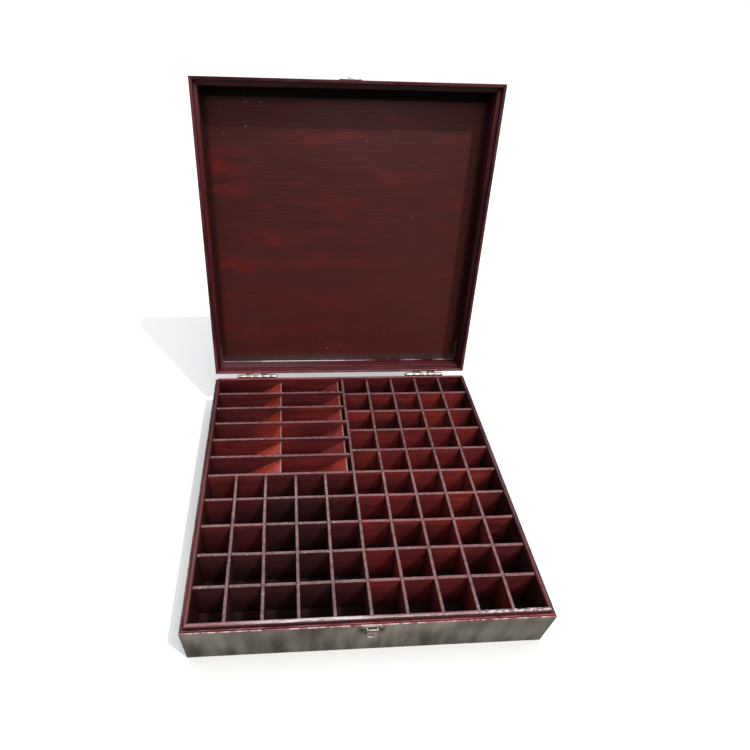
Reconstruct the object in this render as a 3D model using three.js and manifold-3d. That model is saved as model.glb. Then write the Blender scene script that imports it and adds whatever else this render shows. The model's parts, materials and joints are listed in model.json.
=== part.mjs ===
// A square type case of dark lacquered wood: a shallow divided box under a hinged lid.
// Millimetres. X runs to the right, Y to the back, Z up. The origin is the middle of the
// case's underside. The lid stands open on the stops of its hinges.
import * as THREE from 'three';
import { mergeVertices } from 'three/addons/utils/BufferGeometryUtils.js';
import Module from 'manifold-3d';

// Overall size
const CASE_SIZE = 400;          // outside width, and outside depth
const BODY_HEIGHT = 60;         // underside to the ledge that the lid closes on
const LID_HEIGHT = 36;          // rim of the lid to its outer top edge
const LID_OPEN = 105;           // degrees from closed to resting on the hinge stops

const CURVE_STEPS = 12;         // straight pieces in each rounding

// Case walls: an outer board, with a lining inside it that stands proud of the ledge
const WALL = 4.3;
const LINING = 4.7;
const LINING_RISE = 6.3;
const ARRIS = 1.0;              // rounding of the ledge's outer edge
const FLOOR = 5;                // thickness of the bottom board

// Dividers
const DIVIDER = 3.7;            // thickness
const DIVIDER_TOP = 64;         // height of their top edges above the underside
const COLUMNS = 10;             // compartments across the whole width
const ROW_PITCH = 38.5;         // spacing of the divider lines from front to back
const FIRST_ROW = 48.5;         // front face to the middle of the first divider line
const SQUARE_ROWS = 5;          // divider lines that cross the whole width
const BACK_ROWS = 4;            // divider lines behind them, right half only
const SLOTS = 6;                // long slots in the back left quarter

// Sloping blocks in the long slots
const RAMP_TOP = 58;
// Degrees, left and right block of each slot, front slot first: each was sawn by eye.
const RAMP_SLOPES = [[31, 35], [34, 37], [38, 38], [38, 38], [35, 38], [33, 36]];
const RAMP_LAND = 1.5;          // flat strip along the high edge
const RAMP_BACK = [-96, -6.6];  // where each block's upright back stands

// Lid
const LID_WALL = 9;
const LID_REBATE_OUT = 3.9;     // width of the flat band left outside the rebate
const LID_REBATE = 7;           // depth of the rebate that the lining enters
const LID_PANEL = 4.5;
const LID_HOLLOW = 31;          // rim to the inner face of the panel
const PANEL_TONGUE = 4;         // how far the panel goes into the walls

// Hinges
const HINGE_X = 135;            // middle of each hinge, left and right of centre
const HINGE_LENGTH = 60;
const HINGE_OFFSET = 5;         // pin behind the back face
const HINGE_LEAF = 1.4;
const LEAF_REACH = 20;          // pin to the far edge of a leaf
const BARREL_RADIUS = 3.2;
const PIN_RADIUS = 1.4;
const KNUCKLES = 5;
const STOP_REACH = 6;           // pin to the tip of the stop tab
const STOP_THICK = 2;
const STOP_WIDTH = 8;

// Latch
const LATCH_WIDTH = 29;
const LATCH_HEIGHT = 16;
const LATCH_CORNER = 4.5;
const LATCH_PLATE = 1;
const LUG = 1.7;                // thickness of each lug beside the clasp
const CLASP_WIDTH = 10.7;
const CLASP_NECK = 8.4;         // width between the lugs
const CLASP_LENGTH = 17;        // pin to tip
const CLASP_THICK = 1;
const CLASP_SET = 0.7;          // plate in front of the pin while the clasp hangs
const CLASP_CORNER = 3;
const CLASP_BARREL = 1.7;
const CLASP_PIN_RADIUS = 0.8;
const CLASP_PIN_DROP = 5;       // ledge to the clasp's pin
const CLASP_PIN_OUT = 3;        // front face to the clasp's pin
const WINDOW_WIDTH = 6.4;       // hole in the clasp that drops over the keeper's hook
const WINDOW_NEAR = 7;          // pin to the near edge of that hole
const WINDOW_FAR = 14;
const KEEPER_HEIGHT = 14;
const KEEPER_PLATE = 0.8;
const HOOK_WIDTH = 5.6;
const HOOK_HEIGHT = 2.6;
const HOOK_REACH = 3.3;         // front face to the tip of the hook

// Gaps between neighbours
const SEAT = 0.05;              // glued joints in the case
const TURNED = 0.3;             // joints inside the lid, which is turned
const RIM_GAP = 0.4;            // ledge to the closed lid

const half = CASE_SIZE / 2;
const wallTotal = WALL + LINING;
const innerHalf = half - wallTotal;
const liningTop = BODY_HEIGHT + LINING_RISE;
const columnPitch = (2 * innerHalf + DIVIDER) / COLUMNS;
const hingeY = half + HINGE_OFFSET;
const latchPinY = -half - CLASP_PIN_OUT;
const latchPinZ = BODY_HEIGHT - CLASP_PIN_DROP;
const radians = THREE.MathUtils.degToRad;

function finish(color, roughness, metalness) {
  return new THREE.MeshStandardMaterial({ color, roughness, metalness });
}

const lacquer = finish(0x4a1c1e, 0.3, 0);
const dividerWood = finish(0x6a2a28, 0.45, 0);
const rampWood = finish(0x96301f, 0.5, 0);
const boardWood = finish(0x3c1818, 0.5, 0);
const hingeMetal = finish(0xb9ae98, 0.35, 1);
const latchMetal = finish(0xc4b79c, 0.3, 1);

const wasm = await Module();
wasm.setup();

// A solid of the joining library from a closed three.js geometry.
function solid(geometry) {
  const bare = geometry.clone();
  bare.deleteAttribute('normal');
  bare.deleteAttribute('uv');
  const merged = mergeVertices(bare, 1e-4);
  const vertProperties = new Float32Array(merged.attributes.position.array);
  const triVerts = new Uint32Array(merged.index.array);
  return new wasm.Manifold(new wasm.Mesh({ numProp: 3, vertProperties, triVerts }));
}

// A three.js geometry from a solid.
function shaped(body) {
  const mesh = body.getMesh();
  const geometry = new THREE.BufferGeometry();
  geometry.setAttribute('position', new THREE.BufferAttribute(new Float32Array(mesh.vertProperties), 3));
  geometry.setIndex(new THREE.BufferAttribute(new Uint32Array(mesh.triVerts), 1));
  geometry.computeVertexNormals();
  return geometry;
}

function piece(name, geometry, material) {
  const mesh = new THREE.Mesh(geometry, material);
  mesh.name = name;
  return mesh;
}

// A box between two corners.
function block([x0, y0, z0], [x1, y1, z1]) {
  return new THREE.BoxGeometry(x1 - x0, y1 - y0, z1 - z0)
    .translate((x0 + x1) / 2, (y0 + y1) / 2, (z0 + z1) / 2);
}

// A round bar along X.
function bar(radius, length, segments = 24) {
  return new THREE.CylinderGeometry(radius, radius, length, segments).rotateZ(Math.PI / 2);
}

// An outline in X and Z made solid along Y, from y0 to y1.
function slab(outline, y0, y1) {
  const geometry = new THREE.ExtrudeGeometry(outline, { depth: y1 - y0, bevelEnabled: false });
  return geometry.rotateX(Math.PI / 2).translate(0, y1, 0);
}

function outlineOf(points) {
  return new THREE.Shape(points.map(([x, z]) => new THREE.Vector2(x, z)));
}

// A board along X with a constant section and both ends mitred at 45 degrees. The section's
// first coordinate is the depth in from the outer face, its second is the height. The board
// stands on the front side of a square whose half width is given.
function mitredBoard(section, halfWidth, gap) {
  const options = { depth: 1, steps: 1, bevelEnabled: false, curveSegments: CURVE_STEPS };
  const geometry = new THREE.ExtrudeGeometry(section, options);
  const position = geometry.attributes.position;
  for (let i = 0; i < position.count; i += 1) {
    const depth = position.getX(i);
    const height = position.getY(i);
    const end = position.getZ(i) > 0.5 ? 1 : -1;
    position.setXYZ(i, end * (halfWidth - depth - gap), depth - halfWidth, height);
  }
  geometry.computeVertexNormals();
  return geometry;
}

// The four boards of a square frame, front first.
function frame(names, section, halfWidth, gap, material) {
  const turns = [0, 180, -90, 90];
  return names.map((name, i) => {
    const board = piece(name, mitredBoard(section, halfWidth, gap), material);
    board.rotation.z = radians(turns[i]);
    return board;
  });
}

// Outer wall board, with its outer top edge rounded.
function wallSection() {
  const section = new THREE.Shape();
  section.moveTo(0, 0);
  section.lineTo(WALL - SEAT, 0);
  section.lineTo(WALL - SEAT, BODY_HEIGHT);
  section.lineTo(ARRIS, BODY_HEIGHT);
  section.absarc(ARRIS, BODY_HEIGHT - ARRIS, ARRIS, Math.PI / 2, Math.PI, false);
  section.closePath();
  return section;
}

// Lining board, standing on the bottom board, with a fully rounded top.
function liningSection() {
  const radius = LINING / 2;
  const section = new THREE.Shape();
  section.moveTo(WALL, FLOOR + SEAT);
  section.lineTo(wallTotal, FLOOR + SEAT);
  section.lineTo(wallTotal, liningTop - radius);
  section.absarc(WALL + radius, liningTop - radius, radius, 0, Math.PI, false);
  section.closePath();
  return section;
}

function caseShell(group) {
  const sides = ['front', 'back', 'left', 'right'];
  const walls = sides.map((side) => `case_wall_${side}`);
  const linings = sides.map((side) => `case_lining_${side}`);
  group.add(...frame(walls, wallSection(), half, SEAT, lacquer));
  group.add(...frame(linings, liningSection(), half, SEAT, lacquer));
  const reach = half - WALL - SEAT;
  group.add(piece('case_bottom', block([-reach, -reach, 0], [reach, reach, FLOOR]), boardWood));
}

// A divider along X from x0 to x1, notched at each crossing from its top or its bottom edge
// to half its height.
function divider(x0, x1, crossings, fromTop) {
  const low = FLOOR + SEAT;
  const middle = (low + DIVIDER_TOP) / 2;
  const halfNotch = DIVIDER / 2 + SEAT;
  const points = [];
  const sorted = [...crossings].sort((a, b) => a - b);
  const notch = (x, step, edge, stop) => {
    points.push([x - step, edge], [x - step, stop], [x + step, stop], [x + step, edge]);
  };
  points.push([x0, low]);
  if (!fromTop) sorted.forEach((x) => notch(x, halfNotch, low, middle + SEAT));
  points.push([x1, low], [x1, DIVIDER_TOP]);
  if (fromTop) sorted.reverse().forEach((x) => notch(x, -halfNotch, DIVIDER_TOP, middle - SEAT));
  points.push([x0, DIVIDER_TOP]);
  return slab(outlineOf(points), -DIVIDER / 2, DIVIDER / 2);
}

const columnX = (index) => (index - COLUMNS / 2) * columnPitch;
const rowY = (index) => -half + FIRST_ROW + index * ROW_PITCH;
const slotPitch = (innerHalf + DIVIDER / 2 - rowY(SQUARE_ROWS - 1)) / SLOTS;
const slotY = (index) => rowY(SQUARE_ROWS - 1) + index * slotPitch;

function range(from, to) {
  return Array.from({ length: to - from + 1 }, (_, i) => from + i);
}

function placedRow(name, x0, x1, y, crossings) {
  const row = piece(name, divider(x0, x1, crossings, true), dividerWood);
  row.position.y = y;
  return row;
}

// Columns run from front to back, so the same board is turned a quarter turn.
function placedColumn(name, x, y0, y1, crossings) {
  const column = piece(name, divider(y0, y1, crossings, false), dividerWood);
  column.rotation.z = Math.PI / 2;
  column.position.x = x;
  return column;
}

function dividers(group) {
  const end = innerHalf - SEAT;
  const side = DIVIDER / 2 + SEAT;
  const middle = COLUMNS / 2;
  const wholeRows = range(0, SQUARE_ROWS - 1).map(rowY);
  const backRows = range(SQUARE_ROWS, SQUARE_ROWS + BACK_ROWS - 1).map(rowY);
  const frontColumns = range(1, middle - 1).map(columnX);
  const wholeColumns = range(middle, COLUMNS - 1).map(columnX);
  const lastRow = wholeRows.length - 1;

  wholeRows.forEach((y, i) => {
    const crossings = i < lastRow ? [...frontColumns, ...wholeColumns] : wholeColumns;
    group.add(placedRow(`divider_row_${i + 1}`, -end, end, y, crossings));
  });
  backRows.forEach((y, i) => {
    const name = `divider_row_${SQUARE_ROWS + i + 1}_right`;
    group.add(placedRow(name, columnX(middle) + side, end, y, wholeColumns.slice(1)));
  });
  range(1, SLOTS - 1).forEach((i) => {
    group.add(placedRow(`divider_slot_${i}`, -end, columnX(middle) - side, slotY(i), []));
  });
  frontColumns.forEach((x, i) => {
    const stop = wholeRows[lastRow] - side;
    group.add(placedColumn(`divider_column_${i + 1}_front`, x, -end, stop, wholeRows.slice(0, lastRow)));
  });
  wholeColumns.forEach((x, i) => {
    const crossings = i === 0 ? wholeRows : [...wholeRows, ...backRows];
    group.add(placedColumn(`divider_column_${middle + i}`, x, -end, end, crossings));
  });
}

// A block whose top slopes up to the right, then ends in a narrow land and an upright back.
function ramp(backX, slope, y0, y1) {
  const low = FLOOR + SEAT;
  const run = (RAMP_TOP - low) / Math.tan(radians(slope));
  const toe = backX - RAMP_LAND - run;
  const outline = outlineOf([[toe, low], [backX, low], [backX, RAMP_TOP], [backX - RAMP_LAND, RAMP_TOP]]);
  return slab(outline, y0, y1);
}

function ramps(group) {
  const side = DIVIDER / 2 + SEAT;
  range(0, SLOTS - 1).forEach((slot) => {
    const y0 = slotY(slot) + side;
    const y1 = slot < SLOTS - 1 ? slotY(slot + 1) - side : innerHalf - SEAT;
    ['left', 'right'].forEach((place, i) => {
      const wedge = ramp(RAMP_BACK[i], RAMP_SLOPES[slot][i], y0, y1);
      group.add(piece(`slot_${slot + 1}_ramp_${place}`, wedge, rampWood));
    });
  });
}

// Lid wall: a rebate inside the rim for the case's lining, and one outside for the panel.
// Heights are measured from the rim.
function lidWallSection() {
  const panelSeat = LID_HOLLOW - TURNED;
  return outlineOf([[0, 0], [LID_REBATE_OUT, 0], [LID_REBATE_OUT, LID_REBATE], [LID_WALL, LID_REBATE],
    [LID_WALL, panelSeat], [LID_WALL - PANEL_TONGUE, panelSeat], [LID_WALL - PANEL_TONGUE, LID_HEIGHT],
    [0, LID_HEIGHT]]);
}

function lidShell(group) {
  const walls = ['front', 'back', 'left', 'right'].map((side) => `lid_wall_${side}`);
  group.add(...frame(walls, lidWallSection(), half, TURNED / 2, lacquer));
  const reach = half - LID_WALL + PANEL_TONGUE - TURNED;
  const panel = block([-reach, -reach, LID_HOLLOW], [reach, reach, LID_HOLLOW + LID_PANEL]);
  group.add(piece('lid_panel', panel, lacquer));
}

// Knuckles of one leaf, every second one, as one solid round the X axis.
function knuckles(first, neck) {
  const pitch = HINGE_LENGTH / KNUCKLES;
  let body = null;
  for (let i = first; i < KNUCKLES; i += 2) {
    const x = -HINGE_LENGTH / 2 + pitch * (i + 0.5);
    const width = pitch - 2 * TURNED;
    const barrel = bar(BARREL_RADIUS, width).translate(x, 0, 0);
    const web = block([x - width / 2, neck.y0, neck.z0], [x + width / 2, neck.y1, neck.z1]);
    const knuckle = solid(barrel).add(solid(web));
    body = body ? body.add(knuckle) : knuckle;
  }
  return body;
}

function boredLeaf(body) {
  return shaped(body.subtract(solid(bar(PIN_RADIUS + TURNED, HINGE_LENGTH + 2))));
}

// Leaf on the back of the case. Both leaves are drawn with the pin at the origin.
function caseLeaf() {
  const face = -HINGE_OFFSET + SEAT;
  const clear = -BARREL_RADIUS - 2 * TURNED;
  const plate = block([-HINGE_LENGTH / 2, face, -LEAF_REACH], [HINGE_LENGTH / 2, face + HINGE_LEAF, clear]);
  const neck = { y0: face, y1: 0, z0: clear - 1, z1: -BARREL_RADIUS / 2 };
  const padFace = -STOP_THICK / 2 - TURNED;
  const pitch = HINGE_LENGTH / KNUCKLES;
  let body = solid(plate).add(knuckles(0, neck));
  for (let i = 1; i < KNUCKLES; i += 2) {
    const x = -HINGE_LENGTH / 2 + pitch * (i + 0.5);
    const pad = block([x - STOP_WIDTH / 2, face, -STOP_REACH], [x + STOP_WIDTH / 2, padFace, clear - TURNED]);
    body = body.add(solid(pad));
  }
  return boredLeaf(body);
}

// Leaf on the back of the lid, drawn with the lid closed. Each stop tab points straight down
// when the lid is fully open, and then meets the pad on the other leaf.
function lidLeaf() {
  const face = -HINGE_OFFSET + TURNED;
  const clear = BARREL_RADIUS + 2 * TURNED;
  const plate = block([-HINGE_LENGTH / 2, face, clear], [HINGE_LENGTH / 2, face + HINGE_LEAF, LEAF_REACH]);
  const neck = { y0: face, y1: 0, z0: BARREL_RADIUS / 2, z1: clear + 1 };
  const pitch = HINGE_LENGTH / KNUCKLES;
  let body = solid(plate).add(knuckles(1, neck));
  for (let i = 1; i < KNUCKLES; i += 2) {
    const x = -HINGE_LENGTH / 2 + pitch * (i + 0.5);
    const side = STOP_WIDTH / 2;
    const tab = block([x - side, -STOP_THICK / 2, -STOP_REACH], [x + side, STOP_THICK / 2, -PIN_RADIUS]);
    body = body.add(solid(tab.rotateX(radians(LID_OPEN))));
  }
  return boredLeaf(body);
}

// Pin with a small domed head at each end.
function hingePin() {
  const reach = HINGE_LENGTH / 2 + TURNED;
  const head = BARREL_RADIUS * 0.7;
  const points = [[0, -reach - 1.2], [head * 0.6, -reach - 1.1], [head, -reach - 0.5], [head, -reach],
    [PIN_RADIUS, -reach], [PIN_RADIUS, reach], [head, reach], [head, reach + 0.5], [head * 0.6, reach + 1.1],
    [0, reach + 1.2]];
  return new THREE.LatheGeometry(points.map(([r, y]) => new THREE.Vector2(r, y)), 24).rotateZ(Math.PI / 2);
}

function hinges(caseGroup, lidGroup) {
  [['left', -HINGE_X], ['right', HINGE_X]].forEach(([side, x]) => {
    const onCase = piece(`hinge_${side}_case_leaf`, caseLeaf(), hingeMetal);
    const onLid = piece(`hinge_${side}_lid_leaf`, lidLeaf(), hingeMetal);
    const pin = piece(`hinge_${side}_pin`, hingePin(), hingeMetal);
    onCase.position.set(x, hingeY, BODY_HEIGHT);
    pin.position.set(x, hingeY, BODY_HEIGHT);
    onLid.position.set(x, hingeY, BODY_HEIGHT);
    caseGroup.add(onCase, pin);
    lidGroup.add(onLid);
  });
}

// A rectangle in X and Z with round corners, between two corners of its own.
function roundedOutline(x0, z0, x1, z1, radius) {
  const shape = new THREE.Shape();
  shape.absarc(x1 - radius, z1 - radius, radius, 0, Math.PI / 2, false);
  shape.absarc(x0 + radius, z1 - radius, radius, Math.PI / 2, Math.PI, false);
  shape.absarc(x0 + radius, z0 + radius, radius, Math.PI, 1.5 * Math.PI, false);
  shape.absarc(x1 - radius, z0 + radius, radius, 1.5 * Math.PI, 2 * Math.PI, false);
  shape.closePath();
  return shape;
}

// Plate on the front of the case, with two lugs that hold the clasp's pin.
function latchPlate() {
  const back = -half - SEAT;
  const ear = LATCH_WIDTH / 2;
  const top = BODY_HEIGHT - ARRIS;
  const outline = roundedOutline(-ear, top - LATCH_HEIGHT, ear, top, LATCH_CORNER);
  let body = solid(slab(outline, back - LATCH_PLATE, back));
  const inner = CLASP_NECK / 2 + TURNED;
  [-inner - LUG, inner].forEach((x) => {
    const low = latchPinZ - CLASP_BARREL;
    const high = latchPinZ + CLASP_BARREL;
    const foot = block([x, latchPinY, low], [x + LUG, back - SEAT, high]);
    const eye = bar(CLASP_BARREL, LUG).translate(x + LUG / 2, latchPinY, latchPinZ);
    body = body.add(solid(foot)).add(solid(eye));
  });
  return shaped(body.subtract(solid(latchBore().translate(0, latchPinY, latchPinZ))));
}

function latchBore() {
  return bar(CLASP_PIN_RADIUS + TURNED / 2, LATCH_WIDTH);
}

// Clasp, hanging from its pin at the origin: a flat plate with a window, whose tip bends
// towards the case, so that it stands out for a finger once the clasp is swung up.
function clasp() {
  const side = CLASP_WIDTH / 2;
  const neck = CLASP_NECK / 2;
  const front = -CLASP_SET - CLASP_THICK / 2;
  const back = front + CLASP_THICK;
  const shoulder = -CLASP_BARREL - TURNED;
  const plate = slab(roundedOutline(-side, -CLASP_LENGTH, side, shoulder, 2 * CLASP_THICK), front, back);
  const stem = block([-neck, front, shoulder - CLASP_CORNER], [neck, back, 0]);
  const wide = WINDOW_WIDTH / 2;
  const deep = 2 * CLASP_BARREL;
  const hole = block([-wide, -deep, -WINDOW_FAR], [wide, deep, -WINDOW_NEAR]);
  const tip = -CLASP_LENGTH + CLASP_THICK;
  const reach = side - CLASP_CORNER;
  const lip = block([-reach, front + CLASP_THICK / 2, tip - CLASP_THICK], [reach, back + CLASP_THICK, tip]);
  const body = solid(plate).add(solid(stem)).add(solid(lip)).add(solid(bar(CLASP_BARREL, CLASP_NECK)));
  return shaped(body.subtract(solid(hole)).subtract(solid(latchBore())));
}

// Keeper on the front of the lid, drawn with the lid closed: a thin plate with a small hook
// that holds the far bar of the clasp's window.
function keeper() {
  const back = -half - TURNED;
  const ear = LATCH_WIDTH / 2;
  const low = BODY_HEIGHT + 2 * RIM_GAP;
  const outline = roundedOutline(-ear, low, ear, low + KEEPER_HEIGHT, LATCH_CORNER);
  const hookTop = latchPinZ + WINDOW_FAR - TURNED;
  const hook = block([-HOOK_WIDTH / 2, -half - HOOK_REACH, hookTop - HOOK_HEIGHT],
    [HOOK_WIDTH / 2, back - SEAT, hookTop]);
  return shaped(solid(slab(outline, back - KEEPER_PLATE, back)).add(solid(hook)));
}

function latch(caseGroup, lidGroup) {
  const swinging = piece('latch_clasp', clasp(), latchMetal);
  const pin = piece('latch_pin', bar(CLASP_PIN_RADIUS, CLASP_NECK + 2 * (LUG + TURNED)), latchMetal);
  swinging.position.set(0, latchPinY, latchPinZ);
  pin.position.set(0, latchPinY, latchPinZ);
  caseGroup.add(piece('latch_plate', latchPlate(), latchMetal), swinging, pin);
  lidGroup.add(piece('latch_keeper', keeper(), latchMetal));
}

const typeCase = new THREE.Group();
const caseGroup = new THREE.Group();
const lidShellGroup = new THREE.Group();
const lidGroup = new THREE.Group();
const lidTurn = new THREE.Group();

caseShell(caseGroup);
dividers(caseGroup);
ramps(caseGroup);

// The lid's pieces are drawn closed, then the whole lid is turned open about the hinge pins.
lidShell(lidShellGroup);
lidShellGroup.position.z = BODY_HEIGHT + RIM_GAP;
lidGroup.add(lidShellGroup);
hinges(caseGroup, lidGroup);
latch(caseGroup, lidGroup);
lidGroup.position.set(0, -hingeY, -BODY_HEIGHT);
lidTurn.add(lidGroup);
lidTurn.position.set(0, hingeY, BODY_HEIGHT);
lidTurn.rotation.x = radians(-LID_OPEN);
typeCase.add(caseGroup, lidTurn);

export default typeCase;
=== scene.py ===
import json
import math

import bpy
from mathutils import Matrix, Vector, noise

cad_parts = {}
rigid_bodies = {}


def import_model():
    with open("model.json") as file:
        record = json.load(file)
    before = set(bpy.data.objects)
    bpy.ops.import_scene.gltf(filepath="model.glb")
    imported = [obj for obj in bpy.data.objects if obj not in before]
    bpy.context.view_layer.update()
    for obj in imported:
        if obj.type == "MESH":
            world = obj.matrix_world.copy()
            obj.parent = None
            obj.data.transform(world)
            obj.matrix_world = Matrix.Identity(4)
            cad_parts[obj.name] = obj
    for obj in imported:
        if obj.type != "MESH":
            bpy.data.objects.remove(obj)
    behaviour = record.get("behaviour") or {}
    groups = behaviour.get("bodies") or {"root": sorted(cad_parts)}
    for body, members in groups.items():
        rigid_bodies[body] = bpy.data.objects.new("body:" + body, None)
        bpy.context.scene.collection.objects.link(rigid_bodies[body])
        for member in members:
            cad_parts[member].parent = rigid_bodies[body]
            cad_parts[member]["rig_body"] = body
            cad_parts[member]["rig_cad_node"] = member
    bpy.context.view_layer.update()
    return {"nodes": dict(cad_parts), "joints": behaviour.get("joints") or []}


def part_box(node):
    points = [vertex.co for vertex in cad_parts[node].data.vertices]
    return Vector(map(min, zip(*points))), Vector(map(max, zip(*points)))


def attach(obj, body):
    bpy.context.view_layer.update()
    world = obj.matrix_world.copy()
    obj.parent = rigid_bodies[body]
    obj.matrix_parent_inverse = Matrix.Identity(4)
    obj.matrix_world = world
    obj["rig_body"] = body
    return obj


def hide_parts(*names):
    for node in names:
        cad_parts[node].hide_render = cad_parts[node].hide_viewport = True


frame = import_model()

# ---------------------------------------------------------------- bottom board
# A thin board let in between the outer walls. It is stained nearly black, has no lacquer to
# speak of, and is what the case stands on.


def put(tree, kind, **settings):
    """Adds a node, with its settings."""
    made = tree.nodes.new(kind)
    for key, value in settings.items():
        setattr(made, key, value)
    return made


def streaks(tree, place, stretch, low, high, detail=3.0):
    """A mask from 0 to 1 out of noise, with stretch patches per metre along each axis."""
    scaled = put(tree, "ShaderNodeVectorMath", operation="MULTIPLY")
    scaled.inputs[1].default_value = stretch
    texture = put(tree, "ShaderNodeTexNoise")
    texture.inputs["Scale"].default_value = 1.0
    texture.inputs["Detail"].default_value = detail
    level = put(tree, "ShaderNodeMapRange", interpolation_type="SMOOTHSTEP")
    level.inputs["From Min"].default_value = low
    level.inputs["From Max"].default_value = high
    tree.links.new(place, scaled.inputs[0])
    tree.links.new(scaled.outputs["Vector"], texture.inputs["Vector"])
    tree.links.new(texture.outputs["Fac"], level.inputs["Value"])
    return level.outputs["Result"]


def blended(tree, share, first, second, kind="RGBA"):
    """Mixes two colours or two values. Each is a socket or a plain value."""
    mix = put(tree, "ShaderNodeMix", data_type=kind)
    offset = 6 if kind == "RGBA" else 2
    for index, value in ((0, share), (offset, first), (offset + 1, second)):
        if isinstance(value, bpy.types.NodeSocket):
            tree.links.new(value, mix.inputs[index])
        elif isinstance(value, tuple):
            mix.inputs[index].default_value = (*value, 1.0)
        else:
            mix.inputs[index].default_value = value
    return mix.outputs[2 if kind == "RGBA" else 0]


def times(tree, first, second):
    """One mask multiplied by another, or by a number."""
    product = put(tree, "ShaderNodeMath", operation="MULTIPLY")
    for index, value in enumerate((first, second)):
        if isinstance(value, bpy.types.NodeSocket):
            tree.links.new(value, product.inputs[index])
        else:
            product.inputs[index].default_value = value
    return product.outputs[0]


# The figure of the wood, with the grain along X: broad bands, fine streaks and open pores.
figure = bpy.data.node_groups.new("wood figure", "ShaderNodeTree")
figure.interface.new_socket("Place", in_out="INPUT", socket_type="NodeSocketVector")
figure_in = figure.nodes.new("NodeGroupInput")
figure_out = figure.nodes.new("NodeGroupOutput")
for name, stretch, low, high in (
    ("Bands", (5.0, 55.0, 55.0), 0.36, 0.66),
    ("Streaks", (14.0, 420.0, 420.0), 0.42, 0.7),
    ("Pores", (70.0, 1900.0, 1900.0), 0.6, 0.74),
):
    figure.interface.new_socket(name, in_out="OUTPUT", socket_type="NodeSocketFloat")
    mask = streaks(figure, figure_in.outputs["Place"], stretch, low, high)
    figure.links.new(mask, figure_out.inputs[name])

ALONG_X = (0.0, 0.0, 0.0)
ALONG_Y = (0.0, 0.0, -math.pi / 2)
GRAIN_DEPTH = 0.0002
COAT_ROUGHNESS = 0.12
lid_hinge = next(joint for joint in frame["joints"] if joint["name"] == "lid_hinge")
lid_pivot = Vector(lid_hinge["pos_m"])
shut_turn = Matrix.Rotation(math.radians(lid_hinge["range_deg"][1]), 3, "X")


def coordinates(tree, on_lid):
    """Object coordinates. On the lid they are those that its pieces have when it is shut."""
    place = put(tree, "ShaderNodeTexCoord").outputs["Object"]
    if not on_lid:
        return place
    shut = put(tree, "ShaderNodeMapping")
    shut.inputs["Rotation"].default_value = shut_turn.to_euler()
    shut.inputs["Location"].default_value = lid_pivot - shut_turn @ lid_pivot
    tree.links.new(place, shut.inputs["Vector"])
    return shut.outputs["Vector"]


def stained_wood(name, grain, dark, body, red, roughness, coat,
                 on_lid=False, gloss=0.4, open_pores=0.7):
    """Stained wood under lacquer, with the grain along X turned by a rotation.

    Returns the material and its coordinates.
    """
    material = bpy.data.materials.new(name)
    material.use_nodes = True
    tree = material.node_tree
    shader = tree.nodes["Principled BSDF"]
    place = coordinates(tree, on_lid)
    turned = put(tree, "ShaderNodeMapping")
    turned.inputs["Rotation"].default_value = grain
    wood = put(tree, "ShaderNodeGroup", node_tree=figure)
    tree.links.new(place, turned.inputs["Vector"])
    tree.links.new(turned.outputs["Vector"], wood.inputs["Place"])
    bands = wood.outputs["Bands"]
    lines = wood.outputs["Streaks"]
    pores = wood.outputs["Pores"]
    colour = blended(tree, bands, dark, body)
    colour = blended(tree, times(tree, lines, times(tree, bands, 0.85)), colour, red)
    colour = blended(tree, times(tree, pores, open_pores), colour, tuple(0.35 * c for c in dark))
    tree.links.new(colour, shader.inputs["Base Color"])
    tree.links.new(
        blended(tree, lines, roughness, roughness + 0.1, "FLOAT"), shader.inputs["Roughness"]
    )
    bump = put(tree, "ShaderNodeBump")
    bump.inputs["Strength"].default_value = 0.35
    bump.inputs["Distance"].default_value = GRAIN_DEPTH
    tree.links.new(blended(tree, pores, lines, 0.0, "FLOAT"), bump.inputs["Height"])
    tree.links.new(bump.outputs["Normal"], shader.inputs["Normal"])
    shader.inputs["Specular IOR Level"].default_value = gloss
    shader.inputs["Coat Weight"].default_value = coat
    shader.inputs["Coat Roughness"].default_value = COAT_ROUGHNESS
    return material, place


def lay_over(material, mask, colour, roughness):
    """Another layer over a finish, where the mask says."""
    tree = material.node_tree
    shader = tree.nodes["Principled BSDF"]
    for socket, value, kind in (
        ("Base Color", colour, "RGBA"),
        ("Roughness", roughness, "FLOAT"),
    ):
        below = shader.inputs[socket].links[0].from_socket
        tree.links.new(blended(tree, mask, below, value, kind), shader.inputs[socket])


def rippled(material, place, stretch, height):
    """Gives the lacquer the small waves that a brush leaves, as high as given in metres."""
    tree = material.node_tree
    shader = tree.nodes["Principled BSDF"]
    waves = put(tree, "ShaderNodeBump")
    waves.inputs["Strength"].default_value = 1.0
    waves.inputs["Distance"].default_value = height
    tree.links.new(streaks(tree, place, stretch, 0.2, 0.8), waves.inputs["Height"])
    tree.links.new(shader.inputs["Normal"].links[0].from_socket, waves.inputs["Normal"])
    tree.links.new(waves.outputs["Normal"], shader.inputs["Normal"])


MERGE_DISTANCE = 0.00001


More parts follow.
